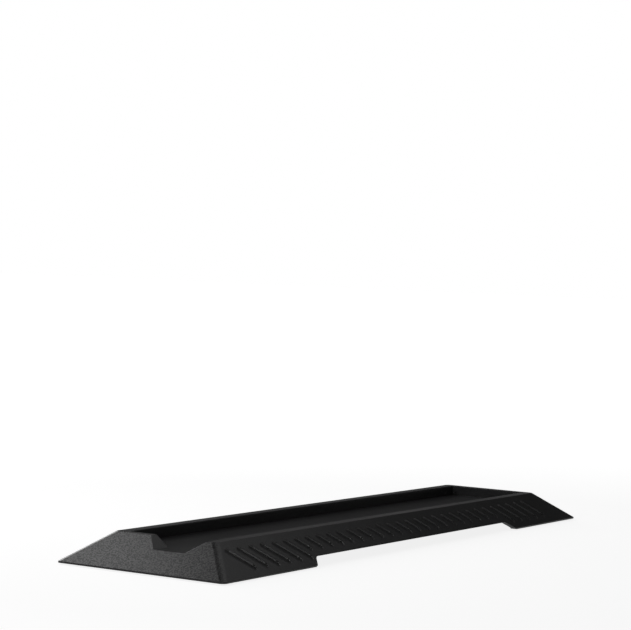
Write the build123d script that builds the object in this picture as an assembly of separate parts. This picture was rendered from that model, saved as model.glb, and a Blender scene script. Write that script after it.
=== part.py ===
"""Console vertical stand: one moulded base with a pocket, on four anti-slip foot pads.

Millimetres. X runs across the stand, Y along it with the front at -Y, and Z up.
The origin is on the table, under the middle of the stand.
"""
import os
from math import atan2, cos, floor, hypot, radians, sin, tan

from build123d import *

# Pocket that drives the plan of the stand
pocket_width = 40.6
pocket_length = 290.6
pocket_depth = 4.85
pocket_corner_radius = 1.5

# Outer form of the moulding
body_height = 13.3
rim_side_width = 5.2
rim_end_width = 3.6
side_slope_run = 16.4
end_slope_run = 18.0
base_land = 0.7
corner_radius = 4.2
rim_outer_radius = 0.6
rim_inner_radius = 0.4

# Cut in the front wall, right of the middle
notch_offset = 7.2
notch_floor_width = 15.4
notch_top_width = 28.0

# Air gap under the middle of each long wall
foot_length = 70.4
gap_height = 3.6
gap_end_run = 5.5
gap_corner_radius = 5.0

# Slanted grooves in the long walls
groove_pitch = 8.84
groove_width = 4.1
groove_slant = 37.5
groove_depth = 0.8
groove_entry = 3.0
groove_draft = 25.0
groove_rim_margin = 4.4
groove_foot_margin = 3.6
groove_front_margin = 2.4
groove_rear_margin = 20.4

# Hollow underside
wall = 2.0
rib_thickness = 1.8
rib_spacing = 29.0
rib_lift = 0.6

# Foot pads and their seats
pad_diameter = 10.0
pad_thickness = 1.6
pad_proud = 0.6
pad_chamfer = 0.3
pad_seat_clearance = 0.1
pad_boss_wall = 2.0
pad_side_inset = 14.0
pad_end_inset = 24.0

# Sizes that follow from these
rim_outer_width = pocket_width + 2 * rim_side_width
rim_outer_length = pocket_length + 2 * rim_end_width
base_width = rim_outer_width + 2 * side_slope_run
base_length = rim_outer_length + 2 * end_slope_run

bottom_z = pad_proud
land_z = bottom_z + base_land
rim_z = bottom_z + body_height
pocket_floor_z = rim_z - pocket_depth
gap_top_z = bottom_z + gap_height
gap_half = base_length / 2 - foot_length

slope_rise = rim_z - land_z
side_slope_angle = atan2(slope_rise, side_slope_run)
end_slope_angle = atan2(slope_rise, end_slope_run)
side_slope_length = hypot(side_slope_run, slope_rise)

# How far a cutting shape runs past the face it cuts
past = 5.0


def block(width, length, low, high, y=0.0):
    """A box of a plan size between two heights, centred across the stand and at y along it."""
    return Pos(0, y, (low + high) / 2) * Box(width, length, high - low)


def trapezoid(low_half, high_half, low, high, middle=0.0):
    """A trapezoid with level sides at two heights, from half its width at each of them."""
    return Polygon(
        (middle - low_half, low),
        (middle + low_half, low),
        (middle + high_half, high),
        (middle - high_half, high),
        align=None,
    )


def frustum(width, length, low, high):
    """A pyramid stump whose long walls and end walls have the stand's slopes."""
    share = (high - low) / slope_rise
    across = trapezoid(width / 2, width / 2 - share * side_slope_run, low, high)
    along = trapezoid(length / 2, length / 2 - share * end_slope_run, low, high)
    long_walls = extrude(Plane.XZ * across, amount=length / 2, both=True)
    end_walls = extrude(Plane.YZ * along, amount=width / 2, both=True)
    return long_walls & end_walls


def outer_form():
    """The closed outer form: land, sloping walls, rounded corners and rounded rim."""
    stump = frustum(base_width, base_length, land_z, rim_z)
    corners = [e for e in stump.edges() if e.bounding_box().size.Z > slope_rise / 2]
    stump = fillet(corners, corner_radius)
    underside = stump.faces().sort_by(Axis.Z)[0]
    land = extrude(underside, amount=base_land, dir=(0, 0, -1))
    rim = stump.faces().sort_by(Axis.Z)[-1]
    return fillet(rim.edges(), rim_outer_radius) + land


def pocket():
    """The space inside the rim, open at the top."""
    plan = RectangleRounded(pocket_width, pocket_length, pocket_corner_radius)
    return extrude(Pos(0, 0, pocket_floor_z) * plan, amount=pocket_depth + past)


def notch_outline(grow=0.0):
    """The trapezoid cut of the front wall, seen from the front, let out by grow on every side."""
    run_per_height = (notch_top_width - notch_floor_width) / 2 / pocket_depth
    lean = hypot(1, run_per_height)
    low_half = notch_floor_width / 2 + grow * (lean - run_per_height)
    low = pocket_floor_z - grow
    high = rim_z + past
    high_half = low_half + (high - low) * run_per_height
    return trapezoid(low_half, high_half, low, high, middle=notch_offset)


def notch(grow=0.0):
    """The front cut, from outside the base to just inside the pocket."""
    reach = (base_length - pocket_length) / 2 + 2 * past
    back = -pocket_length / 2 + past
    return extrude(Plane.XZ.offset(-back) * notch_outline(grow), amount=reach)


def air_gap():
    """The low tunnel from one long side to the other, with leaning ends and rounded upper corners."""
    low_half = gap_half + gap_end_run * past / gap_height
    outline = trapezoid(low_half, gap_half - gap_end_run, bottom_z - past, gap_top_z)
    outline = fillet(outline.vertices().group_by(Axis.Y)[-1], gap_corner_radius)
    return extrude(Plane.YZ * outline, amount=base_width / 2 + past, both=True)


def groove(front, low):
    """A groove in the right wall. Its floor rolls down from the front edge to a steep rear wall.

    front is where its upper end is along the stand, and low is how far its lower end is up the slope.
    """
    slant = radians(groove_slant)
    up = Vector(-cos(side_slope_angle), 0, sin(side_slope_angle))
    out = Vector(sin(side_slope_angle), 0, cos(side_slope_angle))
    along = Vector(0, 1, 0)
    axis = along * sin(slant) - up * cos(slant)
    rearward = along * cos(slant) + up * sin(slant)

    high = side_slope_length - groove_rim_margin
    run = (high - low - groove_width) / cos(slant)
    foot = Vector(base_width / 2, 0, land_z)
    top = foot + along * front + up * (high - groove_width / 2)
    middle = top + axis * (run / 2)
    floor_outline = Plane(middle - out * groove_depth, x_dir=axis, z_dir=out) * SlotOverall(
        run + groove_width, groove_width
    )
    space = extrude(floor_outline, amount=groove_depth + past, taper=-groove_draft)

    entry = radians(groove_entry)
    drop = groove_depth * cos(entry) - groove_width * sin(entry)
    roll_radius = (groove_width**2 + groove_depth**2) / (2 * drop)
    front_edge = middle - rearward * (groove_width / 2)
    roll_middle = front_edge - (rearward * sin(entry) + out * cos(entry)) * roll_radius
    roll_length = run + 2 * (groove_width + past)
    roll = Plane(roll_middle, x_dir=out, z_dir=axis) * Cylinder(roll_radius, roll_length)
    return space - roll


def grooves():
    """The rows of grooves of both long walls: short ones above the air gap, long ones over the feet."""
    first = -rim_outer_length / 2 + groove_front_margin
    last = rim_outer_length / 2 - groove_rear_margin
    count = floor((last - first) / groove_pitch) + 1
    long_low = groove_foot_margin
    short_low = groove_foot_margin + (gap_top_z - land_z) / sin(side_slope_angle)
    drop = side_slope_length - groove_rim_margin - long_low - groove_width
    reach = drop * tan(radians(groove_slant))
    cuts = []
    for k in range(count):
        front = first + k * groove_pitch
        end = front + reach
        over_gap = abs(end) < gap_half - gap_end_run + groove_width / 2
        cuts.append(groove(front, short_low if over_gap else long_low))
    return cuts + [mirror(cut, about=Plane.YZ) for cut in cuts]


def pad_places():
    """The name and the middle of each foot pad."""
    x = base_width / 2 - pad_side_inset
    y = base_length / 2 - pad_end_inset
    return {
        "foot_pad_front_left": (-x, -y),
        "foot_pad_front_right": (x, -y),
        "foot_pad_rear_left": (-x, y),
        "foot_pad_rear_right": (x, y),
    }


def disc(diameter, low, high, place):
    """An upright cylinder between two heights."""
    return Pos(*place, (low + high) / 2) * Cylinder(diameter / 2, high - low)


def pad_seats():
    """The round recesses that the foot pads are pressed into."""
    width = pad_diameter + 2 * pad_seat_clearance
    return [disc(width, bottom_z - past, pad_thickness, place) for place in pad_places().values()]


def ribs():
    """Cross ribs from wall to wall and one long rib, all clear of the air gap."""
    low = gap_top_z + rib_lift
    count = floor(pocket_length / rib_spacing)
    step = pocket_length / count
    plates = [
        block(base_width, rib_thickness, low, rim_z, y=(k - count / 2 + 0.5) * step)
        for k in range(count)
    ]
    return plates + [block(rib_thickness, pocket_length, low, rim_z)]


def hollow():
    """The space under the moulding, which leaves walls, ribs and pad bosses standing."""
    width = base_width - 2 * wall / sin(side_slope_angle)
    length = base_length - 2 * wall / sin(end_slope_angle)
    space = frustum(width, length, land_z, rim_z - wall)
    space += block(width, length, bottom_z - past, land_z)
    space -= block(pocket_width + 2 * wall, pocket_length + 2 * wall, pocket_floor_z - wall, rim_z)
    space -= notch(wall)
    boss_width = pad_diameter + 2 * pad_seat_clearance + 2 * pad_boss_wall
    bosses = [disc(boss_width, bottom_z, rim_z, place) for place in pad_places().values()]
    return space - (ribs() + bosses)


def stand_body():
    """The whole moulding."""
    body = outer_form() - pocket()
    rim = body.faces().sort_by(Axis.Z)[-1]
    body = fillet(rim.inner_wires()[0].edges(), rim_inner_radius)
    return body - notch() - air_gap() - hollow() - grooves() - pad_seats()


def foot_pad(place):
    """A round pad with a broken lower edge."""
    pad = disc(pad_diameter, 0, pad_thickness, place)
    return chamfer(pad.edges().sort_by(Axis.Z)[0], pad_chamfer)


os.makedirs("parts", exist_ok=True)
export_step(stand_body(), "parts/stand_body.step")
for name, place in pad_places().items():
    export_step(foot_pad(place), f"parts/{name}.step")
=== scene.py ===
# %% [markdown]
# # Console vertical stand
#
# The stand is one black plastic moulding on four rubber pads. Four sloping walls rise to a flat rim,
# the rim holds a long pocket, and a cut in the front wall opens that pocket to the front.
# The two long walls carry a row of slanted grooves, and they are lifted off the table along their
# middle.
#
# The engineering model already has the true shape of the moulding, so this lesson keeps that mesh.
# Blender adds what the shape alone doesn't give: the grained plastic, the rubber, the light and the
# camera.

# %% Load the frame
from math import pi

import bpy
import numpy as np
from mathutils import Matrix, Vector


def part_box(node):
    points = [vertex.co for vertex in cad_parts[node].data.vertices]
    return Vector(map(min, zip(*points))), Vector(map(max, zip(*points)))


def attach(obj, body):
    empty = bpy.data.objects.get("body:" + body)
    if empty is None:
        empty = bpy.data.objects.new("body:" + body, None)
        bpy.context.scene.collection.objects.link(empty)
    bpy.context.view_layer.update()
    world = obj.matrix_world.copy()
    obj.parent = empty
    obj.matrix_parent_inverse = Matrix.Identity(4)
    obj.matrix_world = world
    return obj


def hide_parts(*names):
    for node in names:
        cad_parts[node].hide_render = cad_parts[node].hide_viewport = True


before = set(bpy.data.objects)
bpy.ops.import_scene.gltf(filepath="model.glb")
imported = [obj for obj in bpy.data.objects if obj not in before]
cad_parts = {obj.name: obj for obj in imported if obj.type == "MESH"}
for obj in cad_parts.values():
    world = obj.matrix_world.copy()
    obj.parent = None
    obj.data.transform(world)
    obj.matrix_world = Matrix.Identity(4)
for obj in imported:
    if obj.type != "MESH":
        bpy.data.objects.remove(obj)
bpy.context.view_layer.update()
print("nodes:", sorted(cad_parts))

# %% [markdown]
# ## Helpers for shader nodes
#
# A material is a small graph, and writing one by hand repeats the same two acts: add a node, and feed
# its sockets. A few short helpers take up both, so that the cells below read as a list of steps.
# The first group adds nodes and joins them. The second group wraps the few nodes that work on values.


# %% Adding and joining nodes
def feed(tree, socket, value):
    """Joins an output to the socket, or sets the socket to a plain value."""
    if isinstance(value, bpy.types.NodeSocket):
        tree.links.new(value, socket)
    else:
        socket.default_value = value


def feed_inputs(tree, node, **values):
    """Feeds a node's inputs by name, with an underscore for each space in the name."""
    for name, value in values.items():
        feed(tree, node.inputs[name.replace("_", " ")], value)


def add_node(tree, kind, settings=None, **values):
    """Adds a node. settings are its own properties, and values feed its inputs."""
    made = tree.nodes.new(kind)
    for name, setting in (settings or {}).items():
        setattr(made, name, setting)
    feed_inputs(tree, made, **values)
    return made


def new_material(name):
    """A material with only an output and a Principled shader, with its graph and that shader."""
    material = bpy.data.materials.new(name)
    material.use_nodes = True
    tree = material.node_tree
    tree.nodes.clear()
    shader = add_node(tree, "ShaderNodeBsdfPrincipled")
    add_node(tree, "ShaderNodeOutputMaterial", Surface=shader.outputs["BSDF"])
    return material, tree, shader


# %% Working on values
def calculate(tree, operation, *values, clamp=False):
    """The result of a Math node that takes the values in their order."""
    made = add_node(tree, "ShaderNodeMath", {"operation": operation, "use_clamp": clamp})
    for socket, value in zip(made.inputs, values):
        feed(tree, socket, value)
    return made.outputs["Value"]


def remap(tree, value, low, high, from_low=0.0, from_high=1.0):
    """The value, carried in a straight line from one range to another and held at its ends."""
    made = add_node(
        tree, "ShaderNodeMapRange", {"clamp": True}, Value=value,
        From_Min=from_low, From_Max=from_high, To_Min=low, To_Max=high,
    )
    return made.outputs["Result"]


def noise(tree, place, size, detail):
    """A noise about one half, whose blotches are about size metres across."""
    made = add_node(tree, "ShaderNodeTexNoise", Vector=place, Scale=1 / size, Detail=detail)
    return made.outputs["Fac"]


def tinted(tree, colour, level):
    """A colour, brighter or darker by a level that varies over the surface."""
    made = add_node(tree, "ShaderNodeVectorMath", {"operation": "SCALE"}, Vector=colour, Scale=level)
    return made.outputs["Vector"]


def grey(level):
    """A neutral colour of one level, in linear light."""
    return (level, level, level, 1.0)


# %% [markdown]
# ## The moulded plastic
#
# The mould of such a stand is spark eroded, which leaves a fine even grain on the plastic.
# Up close the grain is a field of tiny bumps under a millimetre wide. From a step away it is only
# a speckle and a soft sheen. An image texture could give it, but a noise in object coordinates needs
# no unwrapping and has its true scale everywhere.
#
# Handling polishes the edges first. A Bevel node softens the sharp edges of the mesh in the shading
# and, compared with the true normal, also finds those edges.

# %% Soft edges
edge_radius = 0.00025
edge_samples = 8
edge_full = 0.7
edge_none = 0.99


def soft_edges(tree):
    """The normal with its edges rounded, and a mask that is one on an edge and nought on a face.

    The mask is worked out from the dot product of the rounded normal and the true one."""
    rounded = add_node(tree, "ShaderNodeBevel", {"samples": edge_samples}, Radius=edge_radius)
    alike = add_node(tree, "ShaderNodeVectorMath", {"operation": "DOT_PRODUCT"})
    feed(tree, alike.inputs[0], rounded.outputs["Normal"])
    feed(tree, alike.inputs[1], add_node(tree, "ShaderNodeNewGeometry").outputs["Normal"])
    edge = remap(tree, alike.outputs["Value"], 1.0, 0.0, from_low=edge_full, from_high=edge_none)
    return rounded.outputs["Normal"], edge


# %% [markdown]
# ### Speckle of the grain
#
# The sloping end walls are eroded more coarsely than the rest. A second material could cover them,
# but they belong to the same mesh, so a mask is simpler. They are the faces that look up and along the
# stand at once, and the product of those two parts of the normal finds them.

# %% Grain speckle
side_speckle = 0.06
end_speckle = 0.36
end_facing = 0.4
spot_low = 0.42
spot_high = 0.58


def grain_speckle(tree, grain):
    """A factor about one that follows the grain: 1 + spot * contrast, with spot from -1 to 1.

    The contrast grows from side_speckle to end_speckle with abs(normal y) * normal z."""
    normal = add_node(tree, "ShaderNodeNewGeometry").outputs["Normal"]
    facing = add_node(tree, "ShaderNodeSeparateXYZ", Vector=normal).outputs
    along = calculate(tree, "ABSOLUTE", facing["Y"])
    endward = calculate(tree, "MULTIPLY", along, facing["Z"])
    contrast = remap(tree, endward, side_speckle, end_speckle, from_high=end_facing)
    spot = remap(tree, grain, -1.0, 1.0, from_low=spot_low, from_high=spot_high)
    return calculate(tree, "MULTIPLY_ADD", spot, contrast, 1.0)


# %% [markdown]
# ### The whole plastic
#
# Three sizes of noise do the work. The finest is the grain, in the bump and in the speckle of tone and
# shine. A larger one lets the tone drift a little, as flow in the mould does. The largest one varies
# the roughness, as hands and dust do. The edges are smoother from polishing, and lighter in tone: partly
# wear, and partly a painted highlight along the edges.

# %% Tone and gloss of the plastic
plastic_level = 0.05
plastic_blue = 1.03
noise_low = 0.3
noise_high = 0.7
flow_size = 0.012
flow_detail = 4.0
flow_drift = 0.06
# Lighter tone on the edges: partly wear, partly a painted edge highlight.
edge_wear_and_highlight_gain = 1.35
touch_size = 0.07
touch_detail = 3.0
smoothest = 0.28
roughest = 0.34
edge_smoother = 0.10


def plastic_tone(tree, place, speckle, edge):
    """Black times speckle times drift, lighter on the edges as wear and as a painted highlight."""
    flow = noise(tree, place, flow_size, flow_detail)
    drift = remap(tree, flow, 1 - flow_drift, 1 + flow_drift, noise_low, noise_high)
    # Painted highlight and wear: the edges are made lighter, partly as wear and partly to stand in for
    # light caught on them.
    wear_and_highlight = remap(tree, edge, 1.0, edge_wear_and_highlight_gain)
    tone = calculate(tree, "MULTIPLY", speckle, drift)
    black = (plastic_level, plastic_level, plastic_level * plastic_blue)
    return tinted(tree, black, calculate(tree, "MULTIPLY", tone, wear_and_highlight))


def plastic_roughness(tree, place, edge):
    """A roughness that wanders between two limits, less what the edges have lost."""
    touch = noise(tree, place, touch_size, touch_detail)
    gloss = remap(tree, touch, smoothest, roughest, noise_low, noise_high)
    return calculate(tree, "SUBTRACT", gloss, remap(tree, edge, 0.0, edge_smoother))


# %% Moulded plastic
grain_size = 0.00066
grain_detail = 1.0
grain_height = 0.00006
grain_strength = 0.2
shine = 0.42


def moulded_plastic():
    """Black plastic with a fine spark-eroded grain, uneven gloss, and polished edges painted lighter as
    wear and highlight.
    """
    material, tree, shader = new_material("moulded_black_plastic")
    place = add_node(tree, "ShaderNodeTexCoord").outputs["Object"]
    grain = noise(tree, place, grain_size, grain_detail)
    speckle = grain_speckle(tree, grain)
    rounded, edge = soft_edges(tree)
    bump = add_node(
        tree, "ShaderNodeBump",
        Height=grain, Distance=grain_height, Strength=grain_strength, Normal=rounded,
    )
    feed_inputs(
        tree, shader,
        Base_Color=plastic_tone(tree, place, speckle, edge),
        Roughness=plastic_roughness(tree, place, edge),
        Specular_IOR_Level=calculate(tree, "MULTIPLY", speckle, shine),
        Normal=bump.outputs["Normal"],
    )
    return material


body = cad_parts["stand_body"]
body.material_slots[0].material = moulded_plastic()
print("moulding:", len(body.data.polygons), "faces")

# %% [markdown]
# ## The foot pads
#
# Each pad is a rubber disc pressed into a round seat. It is the same all the way round, so it is a lathe
# shape: a profile of radius and height, carried round a circle. A plain cylinder would do from a step
# away, but a real pad has a rounded lower edge and fine rings on its face that grip the table.
# The whole pad is one numpy grid, with a single point at the middle of each face so that it is closed.

# %% Lathe helper
turns = 96


def lathe(name, radius, height, centre):
    """A closed turned shape about the upright axis through centre.

    Point (i, j) is (radius i * cos(angle j), radius i * sin(angle j), height i).
    The first and last profile points lie on the axis."""
    angle = np.linspace(0, 2 * pi, turns, endpoint=False)
    ring = np.stack([np.cos(angle), np.sin(angle), np.zeros(turns)], axis=-1)
    rings = radius[1:-1, None, None] * ring + height[1:-1, None, None] * np.array([0, 0, 1])
    poles = np.array([[0, 0, height[0]], [0, 0, height[-1]]])
    points = np.concatenate([rings.reshape(-1, 3), poles]) + np.array([centre.x, centre.y, 0])

    index = np.arange(len(radius[1:-1]) * turns).reshape(-1, turns)
    after = np.roll(index, -1, axis=1)
    walls = np.stack([index[:-1], after[:-1], after[1:], index[1:]], axis=-1).reshape(-1, 4)
    first_pole = np.full(turns, index.size)
    start = np.stack([first_pole, after[0], index[0]], axis=-1)
    end = np.stack([first_pole + 1, index[-1], after[-1]], axis=-1)

    mesh = bpy.data.meshes.new(name)
    mesh.from_pydata(points.tolist(), [], walls.tolist() + start.tolist() + end.tolist())
    mesh.validate()
    mesh.polygons.foreach_set("use_smooth", np.ones(len(mesh.polygons), dtype=bool))
    piece = bpy.data.objects.new(name, mesh)
    bpy.context.scene.collection.objects.link(piece)
    return piece


# %% Pad profile
pad_edge = 0.00035
tread_pitch = 0.0009
tread_depth = 0.00012
face_points = 60
edge_points = 8


def pad_profile(rim, low, high):
    """Radius and height along a pad's section.

    The face has cosine rings that fade at the rim. A quarter round, an upright side and a flat top
    follow."""
    flat = rim - pad_edge
    face = np.linspace(0, flat, face_points)
    fade = np.clip((flat - face) / tread_pitch, 0, 1)
    tread = low + tread_depth * fade * (0.5 + 0.5 * np.cos(2 * pi * face / tread_pitch))
    bend = np.linspace(0, pi / 2, edge_points)[1:]
    edge_radii = flat + pad_edge * np.sin(bend)
    edge_heights = low + pad_edge * (1 - np.cos(bend))
    radius = np.concatenate([face, edge_radii, [rim, flat, 0]])
    height = np.concatenate([tread, edge_heights, [high - pad_edge, high, high]])
    return radius, height


# %% [markdown]
# ## Rubber for the pads
#
# Pad rubber is duller than the plastic and has no sheen to speak of. One flat black could stand for it,
# but it would look like a hole. So a fine noise gives it tooth, and a wider one greys it where it has
# picked up dust.

# %% Pad rubber
rubber_level = 0.03
dust_size = 0.0025
dust_detail = 4.0
dust_low, dust_high = 0.35, 0.75
clean_tone, dusty_tone = 0.8, 1.5
tooth_size = 0.0004
tooth_detail = 3.0
tooth_height = 0.00003
tooth_strength = 0.5
rubber_smoothest, rubber_roughest = 0.75, 0.92


def pad_rubber():
    """Matte black rubber with a fine tooth and a little dust."""
    material, tree, shader = new_material("matte_black_rubber")
    place = add_node(tree, "ShaderNodeTexCoord").outputs["Object"]
    tooth = noise(tree, place, tooth_size, tooth_detail)
    dust = noise(tree, place, dust_size, dust_detail)
    level = remap(tree, dust, clean_tone, dusty_tone, dust_low, dust_high)
    bump = add_node(
        tree, "ShaderNodeBump", Height=tooth, Distance=tooth_height, Strength=tooth_strength
    )
    feed_inputs(
        tree, shader,
        Base_Color=tinted(tree, (rubber_level, rubber_level, rubber_level), level),
        Roughness=remap(tree, tooth, rubber_smoothest, rubber_roughest),
        Normal=bump.outputs["Normal"],
    )
    return material


# %% Make the pads
rubber = pad_rubber()
for node in sorted(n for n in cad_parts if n.startswith("foot_pad")):
    low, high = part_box(node)
    centre = (low + high) / 2
    radius, height = pad_profile((high.x - low.x) / 2, low.z, high.z)
    pad = lathe(node + "_rubber", radius, height, centre)
    pad.data.materials.append(rubber)
    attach(pad, "root")
    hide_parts(node)
    print(pad.name, len(pad.data.polygons), "faces")

# %% [markdown]
# ## Floor and backdrop
#
# A product picture stands on white. Pouring light on the floor until it clips would also wash out the
# plastic, so the white is painted only for the rays that look at it: the floor and the world add a glow
# for camera, glossy and transmission rays, and they stay plain for the rays that light the stand.
# A glossy ray gets half of that glow, because a full white floor would outshine the grooves it is
# mirrored in. The floor's own diffuse part stays in the sum, so the soft shadow under the stand stays
# too. Away from the stand the glow grows to full white.

# %% Light path mask
mirrored_white = 0.5


def looking_rays(tree):
    """One for camera and transmission rays, mirrored_white for glossy rays, nought for the rest."""
    path = add_node(tree, "ShaderNodeLightPath").outputs
    total = path["Is Camera Ray"]
    for name, share in (("Is Glossy Ray", mirrored_white), ("Is Transmission Ray", 1.0)):
        total = calculate(tree, "MULTIPLY_ADD", path[name], share, total, clamp=True)
    return total


# %% Floor paint
floor_colour = 0.42
floor_glow = 0.85
shadow_reach = 0.25
white_reach = 0.9


def floor_paint():
    """A diffuse part that shows the shadow, and a glow that grows to white with the distance."""
    material, tree, shader = new_material("pale_floor")
    place = add_node(tree, "ShaderNodeTexCoord").outputs["Object"]
    away = add_node(tree, "ShaderNodeVectorMath", {"operation": "LENGTH"}, Vector=place)
    glow = remap(tree, away.outputs["Value"], floor_glow, 1.0, shadow_reach, white_reach)
    feed_inputs(
        tree, shader,
        Base_Color=grey(floor_colour),
        Roughness=1.0,
        Specular_IOR_Level=0.0,
        Emission_Color=grey(1.0),
        Emission_Strength=calculate(tree, "MULTIPLY", glow, looking_rays(tree)),
    )
    return material


# %% Floor
floor_half = 20.0


def pale_floor():
    """A large square at the height of the table."""
    corners = floor_half * np.array([[-1, -1, 0], [1, -1, 0], [1, 1, 0], [-1, 1, 0]])
    mesh = bpy.data.meshes.new("pale_floor")
    mesh.from_pydata(corners.tolist(), [], [(0, 1, 2, 3)])
    mesh.materials.append(floor_paint())
    floor = bpy.data.objects.new("pale_floor", mesh)
    bpy.context.scene.collection.objects.link(floor)
    return floor


print("floor:", [round(x, 1) for x in pale_floor().dimensions], "m")

# %% [markdown]
# ## World
#
# To the camera the world is plain white. To a glossy ray it is a white sweep at half strength that ends
# a little above the horizon, under a dark ceiling: that is what gives black plastic its bright rim line
# and leaves the long wall dark. To the rays that light the stand it is a weak even fill.

# %% Studio world
fill_level = 0.042
ceiling_level = 0.006
sweep_low = 0.0
sweep_high = 0.15


def blend(tree, share, first, second):
    """first * (1 - share) + second * share."""
    made = add_node(tree, "ShaderNodeMix", {"data_type": "FLOAT"}, Factor=share, A=first, B=second)
    return made.outputs["Result"]


def studio_world():
    """A background whose strength depends on the kind of ray and on how high a glossy ray looks."""
    world = bpy.data.worlds.new("studio")
    bpy.context.scene.world = world
    world.use_nodes = True
    tree = world.node_tree
    tree.nodes.clear()
    camera_ray = add_node(tree, "ShaderNodeLightPath").outputs["Is Camera Ray"]
    direction = add_node(tree, "ShaderNodeTexCoord").outputs["Generated"]
    upward = add_node(tree, "ShaderNodeSeparateXYZ", Vector=direction).outputs["Z"]
    sweep = remap(tree, upward, 1.0, ceiling_level, sweep_low, sweep_high)
    seen = blend(tree, looking_rays(tree), fill_level, sweep)
    strength = blend(tree, camera_ray, seen, 1.0)
    background = add_node(tree, "ShaderNodeBackground", Color=grey(1.0), Strength=strength)
    add_node(tree, "ShaderNodeOutputWorld", Surface=background.outputs["Background"])
    return world


print("world:", studio_world().name)

# %% [markdown]
# ## Lamps
#
# One large softbox stands low at the front left. It faces the front wall almost squarely and only skims
# the right wall, so the front is much brighter than the side, and the side fades towards the rear.
# Black plastic shows its shape by reflection more than by shade, so two weak softboxes and a card give
# it that. The softbox up on the left lays a sheen on the front wall. The one behind shines off the
# right wall and the rounded corner, but not off the floors of the grooves, which turn away from it.
# The low card near the front right corner picks out the steep rear wall of each groove, and fades
# towards the rear because it is so near. It shows in reflections only, so it leaves no pool of light on
# the floor. The last softbox stands far to the left, below the plane of the right wall, and keeps the
# left and rear walls readable.

# %% Softboxes
stand_middle = (0.0, 0.0, 0.005)


def softbox(name, place, size, watts, aim=stand_middle):
    """A square area lamp at place, turned towards aim."""
    lamp = bpy.data.lights.new(name, "AREA")
    lamp.size = size
    lamp.energy = watts
    holder = bpy.data.objects.new(name, lamp)
    holder.location = place
    holder.visible_camera = False
    holder.rotation_mode = "QUATERNION"
    holder.rotation_quaternion = (Vector(aim) - Vector(place)).to_track_quat("-Z", "Y")
    bpy.context.scene.collection.objects.link(holder)
    return holder


# %% Place the lamps
softbox("key_softbox", place=(-0.15, -0.70, 0.35), size=0.30, watts=0.59, aim=(0.0, -0.12, 0.0))
softbox("sheen_softbox", place=(-0.255, -0.12, 0.26), size=0.17, watts=0.155, aim=(-0.03, -0.15, 0.0))
softbox("rear_softbox", place=(-0.04, 0.50, 0.80), size=0.66, watts=0.58)
card = softbox("low_card", place=(0.20, -0.28, 0.03), size=0.06, watts=0.053, aim=(0.03, -0.14, 0.0))
card.visible_diffuse = False
softbox("left_softbox", place=(-0.85, 0.32, 0.42), size=0.40, watts=2.0)

# %% [markdown]
# ## Camera
#
# The view is low and a little to the right of the front corner, through a long lens. The place and the
# turns below come from fitting the stand's known corners and grooves to the picture, so the frame and
# the perspective are those of the photograph. The camera is turned about the upright, tilted, then
# rolled slightly. Its place is measured from the lower edge of the moulding.

# %% Camera
lens_mm = 119.54
sensor_mm = 36.0
far_limit = 100.0
camera_place = Vector((0.49674, -0.85316, 0.12258))
camera_turn = 0.54651
camera_tilt = -0.01838
camera_roll = 0.03904


def photo_camera():
    """A camera at the photograph's view, which the scene then uses."""
    lens = bpy.data.cameras.new("photo_camera")
    lens.sensor_width = sensor_mm
    lens.lens = lens_mm
    lens.clip_end = far_limit
    camera = bpy.data.objects.new("photo_camera", lens)
    body_low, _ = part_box("stand_body")
    camera.matrix_world = (
        Matrix.Translation(camera_place + Vector((0, 0, body_low.z)))
        @ Matrix.Rotation(camera_turn, 4, "Z")
        @ Matrix.Rotation(pi / 2 + camera_tilt, 4, "X")
        @ Matrix.Rotation(camera_roll, 4, "Z")
    )
    bpy.context.scene.collection.objects.link(camera)
    bpy.context.scene.camera = camera
    return camera


print("camera at", [round(x, 3) for x in photo_camera().matrix_world.translation])

# %% [markdown]
# ## Finish
#
# The Standard view shows a colour as it was written.

# %% Finish
bpy.context.scene.view_settings.view_transform = "Standard"
